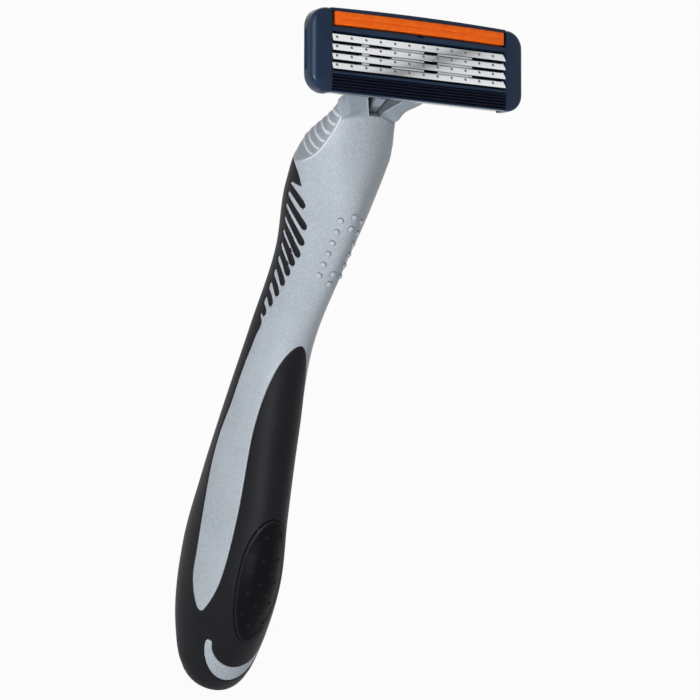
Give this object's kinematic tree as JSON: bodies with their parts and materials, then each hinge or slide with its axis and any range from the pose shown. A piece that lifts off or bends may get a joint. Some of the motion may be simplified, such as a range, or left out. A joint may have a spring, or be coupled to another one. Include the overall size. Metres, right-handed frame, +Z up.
{
  "type": "cartridge razor",
  "caption": "Wet shaving razor with a curved soft-grip handle, a detachable fork neck and a sprung pivoting cartridge of floating blades under a lubricating strip.",
  "frame": {"origin": "Under the middle of the razor's box, at the level of the heel's lowest point, with the razor upright, head up.", "axes": "+Z up the handle to the head, X along the cartridge, the blades face -Y and tilt up."},
  "size_m": [0.0446, 0.0344, 0.1406],
  "materials": {
    "silver_plastic": "satin metallic",
    "black_rubber": "satin",
    "pad_rubber": "satin",
    "grey_plastic": "semi-gloss",
    "spring_steel": "bright drawn",
    "navy_plastic": "gloss",
    "orange_strip": "waxy",
    "guard_rubber": "matte",
    "blade_steel": "polished",
    "support_steel": "rolled"
  },
  "bodies": {
    "handle": {"handle_core": "silver_plastic", "rubber_grip": "black_rubber", "thumb_pad": "pad_rubber"},
    "head_unit": {"pivot_yoke": "grey_plastic", "return_spring": "spring_steel"},
    "plunger": {"return_plunger": "grey_plastic"},
    "cartridge": {"cartridge_base": "navy_plastic", "left_end_cap": "navy_plastic", "right_end_cap": "navy_plastic", "lubricating_strip": "orange_strip", "guard_fins": "guard_rubber"},
    "floating_blade_1": {"blade_1": "blade_steel", "blade_support_1": "support_steel"},
    "floating_blade_2": {"blade_2": "blade_steel", "blade_support_2": "support_steel"},
    "floating_blade_3": {"blade_3": "blade_steel", "blade_support_3": "support_steel"},
    "floating_blade_4": {"blade_4": "blade_steel", "blade_support_4": "support_steel"}
  },
  "joints": [
    {"name": "head_release", "type": "slide", "parent": "handle", "child": "head_unit", "axis": [0, -0.5446, 0.8387], "range_m": [0, 0.0105]},
    {"name": "head_pivot", "type": "hinge", "parent": "head_unit", "child": "cartridge", "pos_m": [0, -0.0078, 0.1321], "axis": [1, 0, 0], "range_deg": [0, 40], "stiffness_Nm_per_rad": 0.004, "springref_deg": -17.19},
    {"name": "plunger_slide", "type": "slide", "parent": "head_unit", "child": "plunger", "axis": [0, -0.5446, 0.8387], "range_m": [-0.0016, 0], "deforming": ["return_spring"]},
    {"name": "blade_1_float", "type": "slide", "parent": "cartridge", "child": "floating_blade_1", "axis": [0, -0.8829, 0.4695], "range_m": [-0.0004, 0], "stiffness_N_per_m": 100, "springref_m": 0.0005},
    {"name": "blade_2_float", "type": "slide", "parent": "cartridge", "child": "floating_blade_2", "axis": [0, -0.8829, 0.4695], "range_m": [-0.0004, 0], "stiffness_N_per_m": 100, "springref_m": 0.0005},
    {"name": "blade_3_float", "type": "slide", "parent": "cartridge", "child": "floating_blade_3", "axis": [0, -0.8829, 0.4695], "range_m": [-0.0004, 0], "stiffness_N_per_m": 100, "springref_m": 0.0005},
    {"name": "blade_4_float", "type": "slide", "parent": "cartridge", "child": "floating_blade_4", "axis": [0, -0.8829, 0.4695], "range_m": [-0.0004, 0], "stiffness_N_per_m": 100, "springref_m": 0.0005}
  ],
  "couplings": [
    {"joint": "plunger_slide", "follows": "head_pivot", "m_per_rad": -0.0021}
  ]
}
